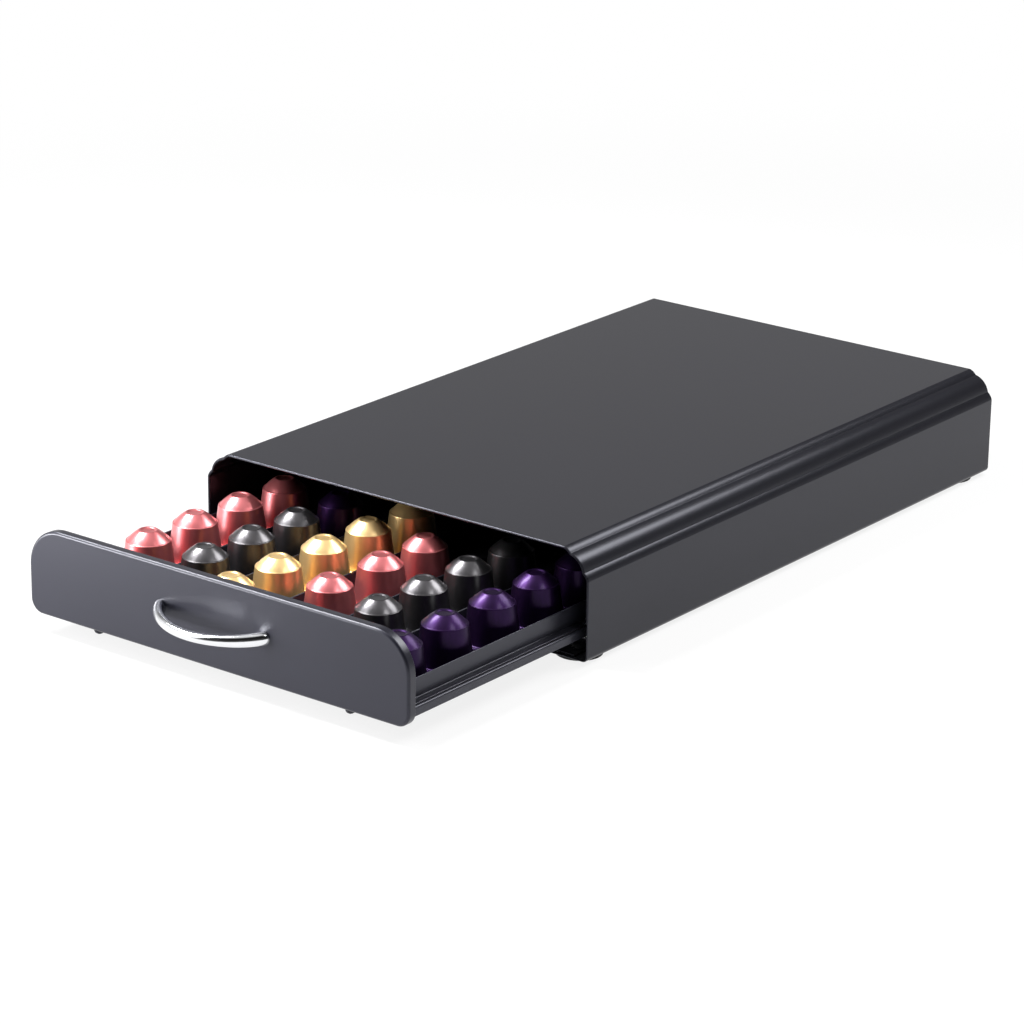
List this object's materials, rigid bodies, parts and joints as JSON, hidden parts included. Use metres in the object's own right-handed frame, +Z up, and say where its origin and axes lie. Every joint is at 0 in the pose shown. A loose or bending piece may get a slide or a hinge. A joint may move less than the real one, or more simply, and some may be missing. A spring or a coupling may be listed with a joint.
{
  "type": "coffee pod drawer",
  "caption": "Low sheet-metal cabinet with one sliding drawer, whose lanes hold coffee capsules standing on their lids; it stands on rubber feet under a coffee machine.",
  "frame": {"origin": "middle of the cabinet's footprint on the counter, at the underside of the feet", "axes": "+Z up; +Y towards the back of the cabinet, so the drawer opens along -Y; +X to the right, seen from the front"},
  "size_m": [0.265, 0.5688, 0.0636],
  "materials": {
    "cabinet": "satin black powder coat",
    "tray": "satin black powder coat",
    "rail": "satin black powder coat",
    "foot": "matt black rubber",
    "nylon": "matt black nylon",
    "zinc": "zinc plated",
    "handle": "bright chrome plate",
    "capsule_rose": "satin anodised rose",
    "capsule_grey": "satin anodised dark grey",
    "capsule_gold": "satin anodised gold",
    "capsule_purple": "satin anodised purple",
    "foil": "plain foil"
  },
  "bodies": {
    "cabinet": {"shell": "cabinet", "back_panel": "cabinet", "rail_left": "rail", "rail_right": "rail", "glide_left": "nylon", "glide_right": "nylon", "stop_left": "nylon", "stop_right": "nylon", "front_crossbar": "rail", "rear_crossbar": "rail", "crossbar_rivets": "zinc", "foot_front_left": "foot", "foot_front_right": "foot", "foot_rear_left": "foot", "foot_rear_right": "foot", "rear_bumpers": "foot"},
    "drawer": {"tray_base": "tray", "side_wall_left": "tray", "side_wall_right": "tray", "rear_wall": "tray", "divider_1": "tray", "divider_2": "tray", "divider_3": "tray", "divider_4": "tray", "divider_5": "tray", "shoe_left": "nylon", "shoe_right": "nylon", "shoe_rivets": "zinc", "skid_left": "tray", "skid_right": "tray", "front_panel": "cabinet", "handle": "handle", "handle_screws": "zinc", "pods_lane_1": "capsule_rose", "pods_lane_2": "capsule_grey", "pods_lane_3": "capsule_gold", "pods_lane_4": "capsule_rose", "pods_lane_5": "capsule_grey", "pods_lane_6": "capsule_purple", "pod_lids": "foil"}
  },
  "joints": [
    {"name": "drawer_slide", "type": "slide", "parent": "cabinet", "child": "drawer", "axis": [0, -1, 0], "range_m": [-0.1435, 0.1565]}
  ]
}
